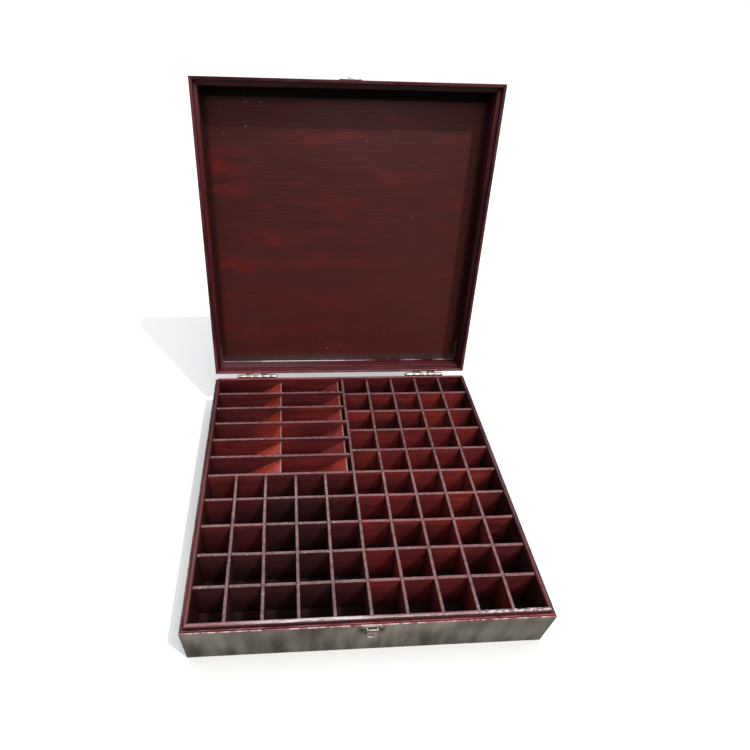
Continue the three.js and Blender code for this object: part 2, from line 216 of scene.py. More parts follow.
def eased(node, material, radius, body="case", steps=2):
    """A copy of a piece with its sharp edges rounded over, as sandpaper leaves them."""
    bpy.ops.object.select_all(action="DESELECT")
    source = frame["nodes"][node]
    source.select_set(True)
    bpy.context.view_layer.objects.active = source
    bpy.ops.object.duplicate()
    piece = bpy.context.object
    piece.name = f"{node}_eased"
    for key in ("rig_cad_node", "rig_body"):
        if key in piece:
            del piece[key]
    bpy.ops.object.mode_set(mode="EDIT")
    bpy.ops.mesh.select_all(action="SELECT")
    bpy.ops.mesh.remove_doubles(threshold=MERGE_DISTANCE)
    bpy.ops.mesh.dissolve_limited(angle_limit=math.radians(1))
    bpy.ops.object.mode_set(mode="OBJECT")
    bevel = piece.modifiers.new("eased edges", "BEVEL")
    bevel.width = radius
    bevel.segments = steps
    bevel.limit_method = "ANGLE"
    bevel.angle_limit = math.radians(35)
    bpy.ops.object.modifier_apply(modifier=bevel.name)
    bpy.ops.object.shade_smooth_by_angle(angle=math.radians(40))
    piece.data.materials.clear()
    piece.data.materials.append(material)
    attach(piece, body)
    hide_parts(node)
    return piece


board_finish, _ = stained_wood(
    "stained board",
    ALONG_X,
    dark=(0.016, 0.009, 0.009),
    body=(0.03, 0.012, 0.013),
    red=(0.05, 0.014, 0.015),
    roughness=0.7,
    coat=0.0,
    gloss=0.05,
)
BOARD_EDGE = 0.0005
eased("case_bottom", board_finish, BOARD_EDGE)

# ---------------------------------------------------------------- outer walls
# Four boards, mitred at the corners, stained and lacquered. Their outer faces carry a painted
# reflection of a grey ground, in soft clouds with darker streaks towards the foot. The outer
# edge of the top carries a painted highlight.
WALL_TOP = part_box("case_wall_front")[1].z
HALF_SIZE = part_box("case_wall_front")[1].x
SIDES = ("front", "back", "left", "right")
STREAKS_TOP = 0.045
WALL_EDGE = 0.0003


def ramp_mask(tree, value, low, high):
    """0 below low and 1 above high, or the other way round when low is the greater."""
    level = put(tree, "ShaderNodeMapRange", interpolation_type="SMOOTHSTEP")
    level.inputs["From Min"].default_value = low
    level.inputs["From Max"].default_value = high
    tree.links.new(value, level.inputs["Value"])
    return level.outputs["Result"]


def sides(tree, place):
    """The three coordinates of the place, as sockets."""
    parts = put(tree, "ShaderNodeSeparateXYZ")
    tree.links.new(place, parts.inputs["Vector"])
    return parts.outputs["X"], parts.outputs["Y"], parts.outputs["Z"]


def outwards(tree, place):
    """Distance from the middle of the case to the side, and the height, as two sockets."""
    whole = put(tree, "ShaderNodeVectorMath", operation="ABSOLUTE")
    tree.links.new(place, whole.inputs[0])
    across, along, _ = sides(tree, whole.outputs["Vector"])
    _, _, height = sides(tree, place)
    side = put(tree, "ShaderNodeMath", operation="MAXIMUM")
    tree.links.new(across, side.inputs[0])
    tree.links.new(along, side.inputs[1])
    return side.outputs[0], height


# The painted reflection of the ground: soft clouds, which give way to narrow darker streaks near
# the foot.
ground_reflection = bpy.data.node_groups.new("cloudy bloom", "ShaderNodeTree")
ground_reflection.interface.new_socket("Place", in_out="INPUT", socket_type="NodeSocketVector")
ground_reflection.interface.new_socket("Bloom", in_out="OUTPUT", socket_type="NodeSocketFloat")
reflection_place = ground_reflection.nodes.new("NodeGroupInput").outputs["Place"]
reflection_out = ground_reflection.nodes.new("NodeGroupOutput")
reflection_clouds = streaks(ground_reflection, reflection_place, (18.0, 18.0, 12.0), 0.3, 0.68, 2.0)
reflection_streaks = streaks(ground_reflection, reflection_place, (55.0, 55.0, 13.0), 0.36, 0.62, 4.0)
_, _, height = sides(ground_reflection, reflection_place)
at_foot = put(ground_reflection, "ShaderNodeMapRange")
at_foot.inputs["From Min"].default_value = STREAKS_TOP
at_foot.inputs["From Max"].default_value = 0.0
ground_reflection.links.new(height, at_foot.inputs["Value"])
streak_share = blended(ground_reflection, at_foot.outputs["Result"], 0.3, 0.85, "FLOAT")
ground_reflection.links.new(blended(ground_reflection, streak_share, reflection_clouds, reflection_streaks, "FLOAT"), reflection_out.inputs["Bloom"])

LACQUER = {
    "dark": (0.03, 0.005, 0.006),
    "body": (0.085, 0.011, 0.014),
    "red": (0.16, 0.018, 0.022),
    "roughness": 0.35,
}
SIDE_LACQUER = {
    "dark": (0.022, 0.006, 0.006),
    "body": (0.05, 0.01, 0.011),
    "red": (0.09, 0.015, 0.016),
    "roughness": 0.4,
}
REFLECTION_LIGHT = (0.43, 0.395, 0.33)
REFLECTION_DARK = (0.14, 0.126, 0.1)
ARRIS_HIGHLIGHT_PINK = (0.36, 0.15, 0.15)
ARRIS_HIGHLIGHT_PALE = (0.6, 0.45, 0.44)
LEDGE_HIGHLIGHT = (0.42, 0.15, 0.15)
CLASP_SHADE = (0.045, 0.03, 0.022)
FACE_DEPTH = 0.0003
REFLECTION_MARGIN = 0.001
REFLECTION_FADE = 0.0006
ARRIS_HIGHLIGHT_WIDTH = 0.0012
ARRIS_FADE = 0.0005
LEDGE_LINE_OUT = 0.0021
LEDGE_LINE_IN = 0.0033
LINE_FADE = 0.0003
LEDGE = (WALL_TOP - 0.0005, WALL_TOP - 0.0002)


def paint_ground_reflection(material, place, share_low, lowest, highest):
    """Paints a reflection of the ground over the outer faces, between two heights."""
    tree = material.node_tree
    reflection = put(tree, "ShaderNodeGroup", node_tree=ground_reflection)
    tree.links.new(place, reflection.inputs["Place"])
    side, height = outwards(tree, place)
    outer = ramp_mask(tree, side, HALF_SIZE - FACE_DEPTH, HALF_SIZE - FACE_DEPTH / 3)
    outer = times(tree, outer, ramp_mask(tree, height, highest, highest - REFLECTION_FADE))
    outer = times(tree, outer, ramp_mask(tree, height, lowest, lowest + REFLECTION_FADE))
    reflection_clouds = reflection.outputs["Bloom"]
    colour = blended(tree, reflection_clouds, REFLECTION_DARK, REFLECTION_LIGHT)
    share = times(tree, outer, blended(tree, reflection_clouds, share_low, 0.96, "FLOAT"))
    lay_over(material, share, colour, 0.5)
    return side, height


def wall_finish(name, grain, lacquer, highlight_share):
    """Lacquer for a wall, with a painted ground reflection, and painted highlights on the outer
    arris and along the ledge, whose share goes from 0 to 1.
    """
    material, place = stained_wood(name, grain, **lacquer, coat=0.05, gloss=0.15)
    tree = material.node_tree
    side, height = paint_ground_reflection(material, place, 0.75, -REFLECTION_FADE, WALL_TOP - REFLECTION_MARGIN)
    # Painted highlight along the outer arris of the top: pink in patches, with paler glints.
    arris_highlight = times(
        tree,
        ramp_mask(tree, height, WALL_TOP - ARRIS_HIGHLIGHT_WIDTH, WALL_TOP - ARRIS_HIGHLIGHT_WIDTH + ARRIS_FADE),
        ramp_mask(tree, side, HALF_SIZE - ARRIS_HIGHLIGHT_WIDTH, HALF_SIZE - ARRIS_HIGHLIGHT_WIDTH + ARRIS_FADE),
    )
    patchy = streaks(tree, place, (60.0, 60.0, 60.0), 0.3, 0.62)
    arris_highlight = times(tree, arris_highlight, highlight_share)
    lay_over(material, times(tree, arris_highlight, patchy), ARRIS_HIGHLIGHT_PINK, 0.35)
    arris_glints = streaks(tree, place, (110.0, 110.0, 110.0), 0.42, 0.6)
    lay_over(material, times(tree, arris_highlight, arris_glints), ARRIS_HIGHLIGHT_PALE, 0.35)

    # A painted highlight makes a pale line along the ledge.
    inner_end = HALF_SIZE - LEDGE_LINE_IN
    outer_end = HALF_SIZE - LEDGE_LINE_OUT
    ledge_line = times(
        tree,
        ramp_mask(tree, side, inner_end, inner_end + LINE_FADE),
        ramp_mask(tree, side, outer_end, outer_end - LINE_FADE),
    )
    ledge_line = times(tree, ledge_line, ramp_mask(tree, height, *LEDGE))
    ledge_line_share = times(tree, streaks(tree, place, (35.0, 35.0, 35.0), 0.3, 0.6), highlight_share)
    lay_over(material, times(tree, ledge_line, ledge_line_share), LEDGE_HIGHLIGHT, 0.35)
    return material


wall_finishes = {
    "front": wall_finish("lacquered wall along X", ALONG_X, LACQUER, 1.0),
    "left": wall_finish("lacquered wall along Y", ALONG_Y, SIDE_LACQUER, 0.35),
}
wall_finishes["back"] = wall_finishes["front"]
wall_finishes["right"] = wall_finishes["left"]

CLASP_LOW, CLASP_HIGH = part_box("latch_clasp")
CLASP_FOOT = (CLASP_LOW.z + 0.001, CLASP_LOW.z + 0.002)
SOFT_EDGE = 0.0025
WALL_SHADE_TOP = WALL_TOP - 0.002


def paint_clasp_shade(material, highest):
    """Paints shade on what lies behind the hanging clasp, up to a height."""
    tree = material.node_tree
    across, along, height = sides(tree, coordinates(tree, False))
    away = put(tree, "ShaderNodeMath", operation="ABSOLUTE")
    tree.links.new(across, away.inputs[0])
    clasp_shade_mask = times(
        tree,
        ramp_mask(tree, away.outputs[0], CLASP_HIGH.x, CLASP_HIGH.x - SOFT_EDGE),
        ramp_mask(tree, height, *CLASP_FOOT),
    )
    # The back wall has the same finish, and stays as it is.
    clasp_shade_mask = times(tree, clasp_shade_mask, ramp_mask(tree, along, 0.0, -HALF_SIZE / 2))
    clasp_shade_mask = times(tree, clasp_shade_mask, ramp_mask(tree, height, highest, highest - SOFT_EDGE))
    lay_over(material, times(tree, clasp_shade_mask, 0.9), CLASP_SHADE, 0.5)


# Painted shade on the front wall behind the hanging clasp.
paint_clasp_shade(wall_finishes["front"], WALL_SHADE_TOP)
for side in SIDES:
    eased(f"case_wall_{side}", wall_finishes[side], WALL_EDGE)

# ---------------------------------------------------------------- lining
# A second set of boards inside the walls. Their rounded tops stand proud of the ledge and enter
# the lid's rebate. The crown of each rounding carries a painted highlight; that of the front one
# is paler, brightest left of the middle, with painted glints at its right end.
LINING_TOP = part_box("case_lining_front")[1].z
LINING_EDGE = 0.0003
CROWN_HIGHLIGHT = (0.26, 0.1, 0.105)
PALE_CROWN_HIGHLIGHT = (0.62, 0.5, 0.52)
BRUSH_WAVES = (330.0, 330.0, 900.0)
BRUSH_HEIGHT = 0.00035
CROWN_DEPTH = 0.0012
HIGHLIGHT_TOP = (LINING_TOP - 0.0014, LINING_TOP - 0.0004)
HIGHLIGHT_FROM = (-0.16, -0.09)
HIGHLIGHT_TO = (0.02, -0.03)
GLINTS_FROM = (0.09, 0.15)
BACK_LACQUER = {
    "dark": (0.06, 0.009, 0.01),
    "body": (0.15, 0.018, 0.02),
    "red": (0.27, 0.03, 0.03),
    "roughness": 0.4,
}


def lining_finish(name, grain, lacquer, gloss, highlight_share):
    """Brushed lacquer for a lining board, with a painted highlight on its crown whose share goes
    from 0 to 1.
    """
    material, place = stained_wood(name, grain, **lacquer, coat=0.05, gloss=gloss)
    tree = material.node_tree
    _, height = outwards(tree, place)
    # Painted highlight on the crown.
    crown = ramp_mask(tree, height, LINING_TOP - CROWN_DEPTH, LINING_TOP)
    patchy = streaks(tree, place, (25.0, 25.0, 25.0), 0.2, 0.75)
    lay_over(material, times(tree, times(tree, crown, patchy), highlight_share), CROWN_HIGHLIGHT, 0.3)
    rippled(material, place, BRUSH_WAVES, BRUSH_HEIGHT)
    return material


def paint_crown_highlight(material):
    """Paints a pale highlight on the crown: most left of the middle, and in glints at the right
    end.
    """
    tree = material.node_tree
    place = coordinates(tree, False)
    across, _, height = sides(tree, place)
    crown = ramp_mask(tree, height, *HIGHLIGHT_TOP)
    patchy = streaks(tree, place, (60.0, 400.0, 400.0), 0.2, 0.6)
    glints = streaks(tree, place, (260.0, 900.0, 900.0), 0.4, 0.6)
    at_left = times(tree, ramp_mask(tree, across, *HIGHLIGHT_FROM),
                    ramp_mask(tree, across, *HIGHLIGHT_TO))
    at_right = ramp_mask(tree, across, *GLINTS_FROM)
    share = times(tree, blended(tree, at_left, 0.1, 0.85, "FLOAT"), patchy)
    share = blended(tree, at_right, share, glints, "FLOAT")
    lay_over(material, times(tree, crown, share), PALE_CROWN_HIGHLIGHT, 0.25)


lining_finishes = {
    "front": lining_finish("lacquered front lining", ALONG_X, LACQUER, 1.0, 0.5),
    "back": lining_finish("lacquered back lining", ALONG_X, BACK_LACQUER, 0.4, 0.4),
    "left": lining_finish("lacquered side linings", ALONG_Y, SIDE_LACQUER, 0.25, 0.3),
}
lining_finishes["right"] = lining_finishes["left"]
paint_crown_highlight(lining_finishes["front"])
for side in SIDES:
    eased(f"case_lining_{side}", lining_finishes[side], LINING_EDGE)

# ---------------------------------------------------------------- dividers
# Thin strips, notched halfway into each other where they cross. Their top edges are worn pale
# where fingers and type have rubbed them, and carry a painted sheen with painted glints. The
# strips along Y get a darker copy of the stain as painted shade, because their seen faces lie in
# shade.
DIVIDER_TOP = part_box("divider_row_1")[1].z
DIVIDER_EDGE = 0.0006
WORN_TOP_AND_SHEEN = (0.165, 0.088, 0.09)
PAINTED_GLINT_FLECK = (0.4, 0.29, 0.29)
SOMBRE_STAIN = (0.065, 0.014, 0.018)
FRONT_LEFT_DARK = (0.033, 0.014, 0.016)
PALE_TOP_BAND = (DIVIDER_TOP - 0.0007, DIVIDER_TOP - 0.0002)
QUARTER_RIGHT = (0.004, -0.002)
QUARTER_BACK = (0.008, 0.0)
PAST_FIRST_ROW = (-0.015, -0.035)
PAST_FIRST_COLUMN = (-0.032, -0.05)
SPARED_LEFT = (-0.105, -0.125)
SPARED_BACK = (-0.105, -0.085)


def divider_finish(name, grain, depth, sombre_from):
    """Uneven red stain, darker with a depth below 1, which paints shade on copies whose seen
    faces lie in shade; worn pale along the top, with a painted sheen and painted glints there.

    Patches of sombre stain cover the more of the wood, the lower sombre_from is.
    """
    material, place = stained_wood(
        name,
        grain,
        dark=tuple(depth * c for c in (0.085, 0.013, 0.015)),
        body=tuple(depth * c for c in (0.155, 0.02, 0.021)),
        red=tuple(depth * c for c in (0.28, 0.032, 0.031)),
        roughness=0.45,
        coat=0.1,
        gloss=0.25,
    )
    tree = material.node_tree
    uneven = streaks(tree, place, (10.0, 27.0, 3.0), 0.4, 0.75)
    coarse = streaks(tree, place, (26.0, 26.0, 260.0), 0.42, 0.68)
    lay_over(material, times(tree, uneven, blended(tree, coarse, 0.35, 0.9, "FLOAT")),
             tuple(depth * c for c in (0.34, 0.042, 0.03)), 0.45)
    sombre = streaks(tree, place, (7.0, 23.0, 2.0), sombre_from, sombre_from + 0.18)
    lay_over(material, times(tree, sombre, 0.75), SOMBRE_STAIN, 0.45)

    # The front left quarter is darkest, but less so at its back, next to the middle, and at the
    # left from its third row on.
    across, along, _ = sides(tree, place)
    quarter = times(tree, ramp_mask(tree, across, *QUARTER_RIGHT),
                    ramp_mask(tree, along, *QUARTER_BACK))
    forward = ramp_mask(tree, along, *PAST_FIRST_ROW)
    quarter = times(tree, quarter, blended(tree, forward, 0.6, 1.0, "FLOAT"))
    outward = ramp_mask(tree, across, *PAST_FIRST_COLUMN)
    quarter = times(tree, quarter, blended(tree, outward, 0.7, 1.0, "FLOAT"))
    spared = times(tree, ramp_mask(tree, across, *SPARED_LEFT),
                   ramp_mask(tree, along, *SPARED_BACK))
    quarter = times(tree, quarter, blended(tree, spared, 1.0, 0.5, "FLOAT"))
    lay_over(material, times(tree, quarter, 0.86), FRONT_LEFT_DARK, 0.45)

    # The pale top is wear and a painted sky sheen; the flecks are painted glints.
    _, height = outwards(tree, place)
    top = ramp_mask(tree, height, *PALE_TOP_BAND)
    patchy = streaks(tree, place, (140.0, 140.0, 140.0), 0.32, 0.62)
    share = times(tree, top, blended(tree, patchy, 0.35, 0.95, "FLOAT"))
    lay_over(material, share, WORN_TOP_AND_SHEEN, 0.5)
    flecks = streaks(tree, place, (330.0, 330.0, 330.0), 0.6, 0.75)
    lay_over(material, times(tree, top, flecks), PAINTED_GLINT_FLECK, 0.5)
    return material


BOW = 0.0008
SLOT_BOW = 0.0003
BOWS_PER_METRE = 11
RIPPLE = 0.00025
RIPPLES_PER_METRE = 60
TOP_BAND = 0.003
STRIP_START = 0.37
STRIP_SPREAD = 7
CUT_SPACING = 0.012


def weathered(strip, along, bow):
    """Gives a strip the slight bow and the uneven top edge of thin wood planed by hand."""
    low = min(v.co[along] for v in strip.data.vertices)
    high = max(v.co[along] for v in strip.data.vertices)
    normal = Vector((0, 0, 0))
    normal[along] = 1
    cuts = int((high - low) / CUT_SPACING)
    bpy.ops.object.mode_set(mode="EDIT")
    for i in range(1, cuts):
        at = normal * (low + (high - low) * i / cuts)
        bpy.ops.mesh.select_all(action="SELECT")
        bpy.ops.mesh.bisect(plane_co=at, plane_no=normal)
    bpy.ops.object.mode_set(mode="OBJECT")
    across = 1 - along
    for vertex in strip.data.vertices:
        place = Vector(vertex.co)
        share = max(0.0, 1 - (DIVIDER_TOP - place.z) / DIVIDER_TOP)
        # The second coordinate of the noise keeps one strip unlike the next.
        spread = STRIP_SPREAD * strip.data.vertices[0].co[across]
        line = Vector((place[along], STRIP_START + spread, 0.5))
        vertex.co[across] += bow * share * noise.noise(line * BOWS_PER_METRE)
        if place.z > DIVIDER_TOP - TOP_BAND:
            waves = noise.noise(line * RIPPLES_PER_METRE + Vector((0, 5, 0)))
            vertex.co.z -= RIPPLE * (0.5 + waves)
    strip.data.update()


row_finish = divider_finish("divider along X", ALONG_X, 1.15, 0.52)
slot_finish = divider_finish("divider of the slots", ALONG_X, 0.9, 0.45)
# Half as bright: painted shade, because the strips along Y show only their shaded faces.
shaded_column_finish = divider_finish("divider along Y", ALONG_Y, 0.5, 0.5)
for start, finish, along, bow in (
    ("divider_column", shaded_column_finish, 1, BOW),
    ("divider_row", row_finish, 0, BOW),
    ("divider_slot", slot_finish, 0, SLOT_BOW),
):
    for name in sorted(frame["nodes"]):
        if name.startswith(start):
            weathered(eased(name, finish, DIVIDER_EDGE), along, bow)

# ---------------------------------------------------------------- sloping blocks
# Two wedges in each long slot. What lies in the slot slides up the slope to be picked up. They
# are sawn from redder wood than the dividers, and the land along the top is worn and carries a
# painted highlight. The left wedges and those of the first slot get a lit copy of the stain, the
# rest a darker copy as painted shade.
RAMP_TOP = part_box("slot_1_ramp_left")[1].z
RAMP_EDGE = 0.0003
WORN_LAND_AND_HIGHLIGHT = (0.33, 0.16, 0.13)
LAND = (RAMP_TOP - 0.0007, RAMP_TOP - 0.0001)


def ramp_finish(name, body, red):
    """Red stained wood, worn on the land, which carries a painted highlight too."""
    material, place = stained_wood(
        name, ALONG_X, dark=tuple(0.5 * c for c in body), body=body, red=red,
        roughness=0.42, coat=0.25,
    )
    tree = material.node_tree
    _, height = outwards(tree, place)
    land = ramp_mask(tree, height, *LAND)
    lay_over(material, times(tree, land, 0.7), WORN_LAND_AND_HIGHLIGHT, 0.4)
    return material


# A lit copy and a darker copy of one stain: painted light and painted shade.
lit_ramp = ramp_finish("red block, painted lit", (0.27, 0.03, 0.02), (0.38, 0.042, 0.024))
shaded_ramp = ramp_finish("red block, painted shaded", (0.2, 0.026, 0.027), (0.3, 0.036, 0.034))
for name in sorted(frame["nodes"]):
    if "_ramp_" in name:
        is_lit = name.endswith("left") or name.startswith("slot_1_")
        eased(name, lit_ramp if is_lit else shaded_ramp, RAMP_EDGE)

# ---------------------------------------------------------------- lid walls
# Four boards like the case's walls, mitred too. A rebate round the inside of the rim takes the
# lining, and the panel's tongue sits in the walls. The rim is rubbed. At the back the rim
# carries a painted highlight, the inner face a painted sky reflection, and a painted white glint
# runs along the foot of the panel.
LID_WALL = 0.009
LID_EDGE = 0.0005
INNER_FACE = HALF_SIZE - LID_WALL
RIM_WEAR = 0.0012
FOOT = (0.15, 0.17)
SHEEN_FROM = (0.05, -0.12)
GLINT_LEFT = (-0.13, -0.128)
GLINT_RIGHT = (0.015, 0.0)
RUBBED_RIM = (0.16, 0.05, 0.06)
FOOT_RIM_HIGHLIGHT = (0.24, 0.085, 0.09)
INNER_FACE_SHEEN = (0.13, 0.062, 0.07)
PAINTED_GLINT = (1.0, 0.95, 0.94)


def shut_heights(node):
    """The heights of all the corners of a piece of the lid, when the lid is shut."""
    corners = frame["nodes"][node].data.vertices
    return [(shut_turn @ (v.co - lid_pivot) + lid_pivot).z for v in corners]


RIM = min(shut_heights("lid_wall_front"))
LID_TOP = max(shut_heights("lid_wall_front"))
PANEL_FACE = min(shut_heights("lid_panel"))
GLINT_EDGE = (PANEL_FACE - 0.0044, PANEL_FACE - 0.0038)


def lid_finish(name, grain):
    """Lacquer, painted ground reflection, rim wear, and at the foot a painted highlight, a
    painted sky reflection and a painted glint, for a lid wall.
    """
    material, place = stained_wood(name, grain, **LACQUER, coat=0.1, gloss=0.3, on_lid=True)
    tree = material.node_tree
    side, height = paint_ground_reflection(material, place, 0.5, RIM + REFLECTION_MARGIN, LID_TOP - REFLECTION_MARGIN)
    rim = ramp_mask(tree, height, RIM + RIM_WEAR, RIM + RIM_WEAR / 3)
    patchy = streaks(tree, place, (40.0, 40.0, 40.0), 0.3, 0.7)
    rim_share = times(tree, rim, blended(tree, patchy, 0.05, 0.45, "FLOAT"))
    lay_over(material, rim_share, RUBBED_RIM, 0.35)

    # The rest is at the back only, which is the foot of the lid while it stands open.
    across, along, _ = sides(tree, place)
    foot = ramp_mask(tree, along, *FOOT)
    inner = ramp_mask(tree, side, INNER_FACE + 0.0007, INNER_FACE + 0.0003)
    # Painted sky reflection on the inner face at the foot.
    foot_sheen = times(tree, times(tree, foot, inner), ramp_mask(tree, across, *SHEEN_FROM))
    lay_over(material, times(tree, foot_sheen, 0.7), INNER_FACE_SHEEN, 0.35)
    # Painted highlight on the rim at the foot.
    worn = times(tree, times(tree, foot, rim), blended(tree, patchy, 0.35, 0.9, "FLOAT"))
    lay_over(material, worn, FOOT_RIM_HIGHLIGHT, 0.35)
    # Painted white glint along the foot of the panel, whole from the left part to the middle,
    # broken and fainter elsewhere.
    foot_glint = times(tree, foot, ramp_mask(tree, height, *GLINT_EDGE))
    foot_glint = times(tree, foot_glint, inner)
    broken = streaks(tree, place, (30.0, 30.0, 30.0), 0.42, 0.6)
    whole = times(
        tree, ramp_mask(tree, across, *GLINT_RIGHT), ramp_mask(tree, across, *GLINT_LEFT)
    )
    clean = blended(tree, whole, times(tree, broken, 0.45), 1.0, "FLOAT")
    lay_over(material, times(tree, foot_glint, clean), PAINTED_GLINT, 0.3)
    return material


lid_finishes = {
    "front": lid_finish("lacquered lid along X", ALONG_X),
    "left": lid_finish("lacquered lid along Y", ALONG_Y),
}
lid_finishes["back"] = lid_finishes["front"]
lid_finishes["right"] = lid_finishes["left"]
for side in SIDES:
    eased(f"lid_wall_{side}", lid_finishes[side], LID_EDGE, body="lid")

# ---------------------------------------------------------------- lid panel
# One thin board, its grain across the lid, with long red streaks in the stain and specks of
# dust on the lacquer.
PANEL_EDGE = 0.0003
HAIR_RED = (0.13, 0.035, 0.03)
STREAK_RED = (0.18, 0.016, 0.018)
FADED_BROWN = (0.08, 0.025, 0.02)
FOOT_LIGHT_RED = (0.115, 0.025, 0.02)
PAINTED_WALL_SHADE = (0.02, 0.008, 0.008)
PANEL_FOOT_SHEEN = (0.11, 0.06, 0.062)
PAINTED_DEEP_SHADE = (0.008, 0.004, 0.005)
DUST = (0.55, 0.45, 0.43)

panel_finish, panel_place = stained_wood(
    "lid panel",
    ALONG_X,
    dark=(0.062, 0.0165, 0.0145),
    body=(0.07, 0.018, 0.016),
    red=(0.085, 0.0185, 0.0165),
    roughness=0.4,
    coat=0.0,
    on_lid=True,
    gloss=0.15,
    open_pores=0.25,
)
panel_tree = panel_finish.node_tree
panel_across, panel_along, _ = sides(panel_tree, panel_place)
hairs = streaks(panel_tree, panel_place, (22.0, 650.0, 650.0), 0.4, 0.7)
lay_over(panel_finish, times(panel_tree, hairs, 0.2), HAIR_RED, 0.4)
brushed = streaks(panel_tree, panel_place, (13.0, 48.0, 48.0), 0.47, 0.75, 5.0)
reddest = ramp_mask(panel_tree, panel_across, -0.06, -0.16)
brushed = times(panel_tree, brushed, blended(panel_tree, reddest, 0.5, 0.95, "FLOAT"))
lay_over(panel_finish, brushed, STREAK_RED, 0.4)
brown = ramp_mask(panel_tree, panel_across, -0.02, 0.15)
lay_over(panel_finish, times(panel_tree, brown, 0.45), FADED_BROWN, 0.4)
# Painted light: lighter and redder towards the foot, which gets less light.
toward_foot = ramp_mask(panel_tree, panel_along, -0.08, 0.17)
lay_over(panel_finish, times(panel_tree, toward_foot, 0.55), FOOT_LIGHT_RED, 0.4)

# Inside the lid, painted shade darkens the panel along the walls and is nearly black along the
# front one, and a painted sky reflection pales it at the back.
side, height = outwards(panel_tree, panel_place)
inside = ramp_mask(panel_tree, height, PANEL_FACE + 0.0015, PANEL_FACE + 0.0005)
for distance, start, end, share, colour, roughness in (
    (side, INNER_FACE - 0.009, INNER_FACE - 0.003, 0.7, PAINTED_WALL_SHADE, 0.4),
    (panel_along, INNER_FACE - 0.016, INNER_FACE - 0.002, 0.6, PANEL_FOOT_SHEEN, 0.4),
    (panel_along, 0.0115 - INNER_FACE, 0.0095 - INNER_FACE, 0.92, PAINTED_DEEP_SHADE, 0.5),
):
    band = times(panel_tree, inside, ramp_mask(panel_tree, distance, start, end))
    lay_over(panel_finish, times(panel_tree, band, share), colour, roughness)

specks = streaks(panel_tree, panel_place, (300.0, 650.0, 650.0), 0.85, 0.88, 0.0)
clusters = streaks(panel_tree, panel_place, (9.0, 9.0, 9.0), 0.55, 0.7)
lay_over(panel_finish, times(panel_tree, specks, clusters), DUST, 0.6)
eased("lid_panel", panel_finish, PANEL_EDGE, body="lid")

# ---------------------------------------------------------------- hinges
# Two cast butt hinges of nickelled brass. Each has a leaf on the back of the case, a leaf on
# the back of the lid, and a pin through the five knuckles. The plating has gone patchy.
LEAF_EDGE = 0.00025
PIN_EDGE = 0.0001
SCRATCH_DEPTH = 0.00005


def plated_metal(name, colour, tarnish, roughness):
    """Nickel plate, with tarnish in soft patches and fine scratches."""
    material = bpy.data.materials.new(name)
    material.use_nodes = True
    tree = material.node_tree
    shader = tree.nodes["Principled BSDF"]
    place = coordinates(tree, False)
    patches = streaks(tree, place, (220.0, 220.0, 220.0), 0.4, 0.75)
    scratches = streaks(tree, place, (900.0, 3500.0, 3500.0), 0.5, 0.7)
    tree.links.new(blended(tree, patches, colour, tarnish), shader.inputs["Base Color"])
    rough = blended(tree, patches, roughness, roughness + 0.25, "FLOAT")
    tree.links.new(rough, shader.inputs["Roughness"])
    bump = put(tree, "ShaderNodeBump")
    bump.inputs["Strength"].default_value = 0.2
    bump.inputs["Distance"].default_value = SCRATCH_DEPTH
    tree.links.new(scratches, bump.inputs["Height"])
    tree.links.new(bump.outputs["Normal"], shader.inputs["Normal"])
    shader.inputs["Metallic"].default_value = 1.0
    return material


hinge_metal = plated_metal("hinge nickel", (0.62, 0.56, 0.5), (0.3, 0.25, 0.2), 0.22)
for side in ("left", "right"):
    eased(f"hinge_{side}_case_leaf", hinge_metal, LEAF_EDGE)
    eased(f"hinge_{side}_lid_leaf", hinge_metal, LEAF_EDGE, body="lid")
    eased(f"hinge_{side}_pin", hinge_metal, PIN_EDGE)

# ---------------------------------------------------------------- latch
# A small nickelled latch: a plate on the case with two lugs, a clasp that swings on a pin
# between them, and a thin hooked keeper on the lid. The clasp is worn bright by fingers, its
# barrel and the plate are tarnished, and painted shade darkens the plate behind the clasp.
LATCH_EDGE = 0.0002
BARREL_LOW = CLASP_HIGH.z - 0.0042
BARREL_TARNISH = (0.34, 0.27, 0.25)
PLATE_SHADE_TOP = CLASP_HIGH.z - 0.0065
latch_metal = plated_metal("latch nickel", (0.5, 0.43, 0.38), (0.3, 0.25, 0.21), 0.36)
clasp_metal = plated_metal("clasp nickel, worn", (0.8, 0.69, 0.64), (0.52, 0.43, 0.39), 0.45)
clasp_tree = clasp_metal.node_tree
_, height = outwards(clasp_tree, coordinates(clasp_tree, False))
barrel = ramp_mask(clasp_tree, height, BARREL_LOW, BARREL_LOW + 0.0008)
lay_over(clasp_metal, barrel, BARREL_TARNISH, 0.5)
plate_metal = plated_metal("latch plate, tarnished", (0.36, 0.33, 0.27), (0.2, 0.18, 0.14), 0.4)
# Painted shade on the plate behind the clasp.
paint_clasp_shade(plate_metal, PLATE_SHADE_TOP)
eased("latch_plate", plate_metal, LATCH_EDGE)
eased("latch_clasp", clasp_metal, LATCH_EDGE, body="clasp")
eased("latch_pin", latch_metal, LATCH_EDGE)
eased("latch_keeper", latch_metal, LATCH_EDGE, body="lid")

# ---------------------------------------------------------------- screws
# Countersunk wood screws with one slot hold the hinge leaves, the plate and the keeper. Those
# of the plate have gone dark.
SCREW_HEAD = 0.0021
SCREW_RISE = 0.0005
DOME_STEPS = (0.00022, 0.0001)
DOME_INSET = 0.3 * SCREW_HEAD
SLOT_WIDTH = 0.0007
SLOT_HEIGHT = SCREW_RISE / 2 + 0.6 * SLOT_WIDTH


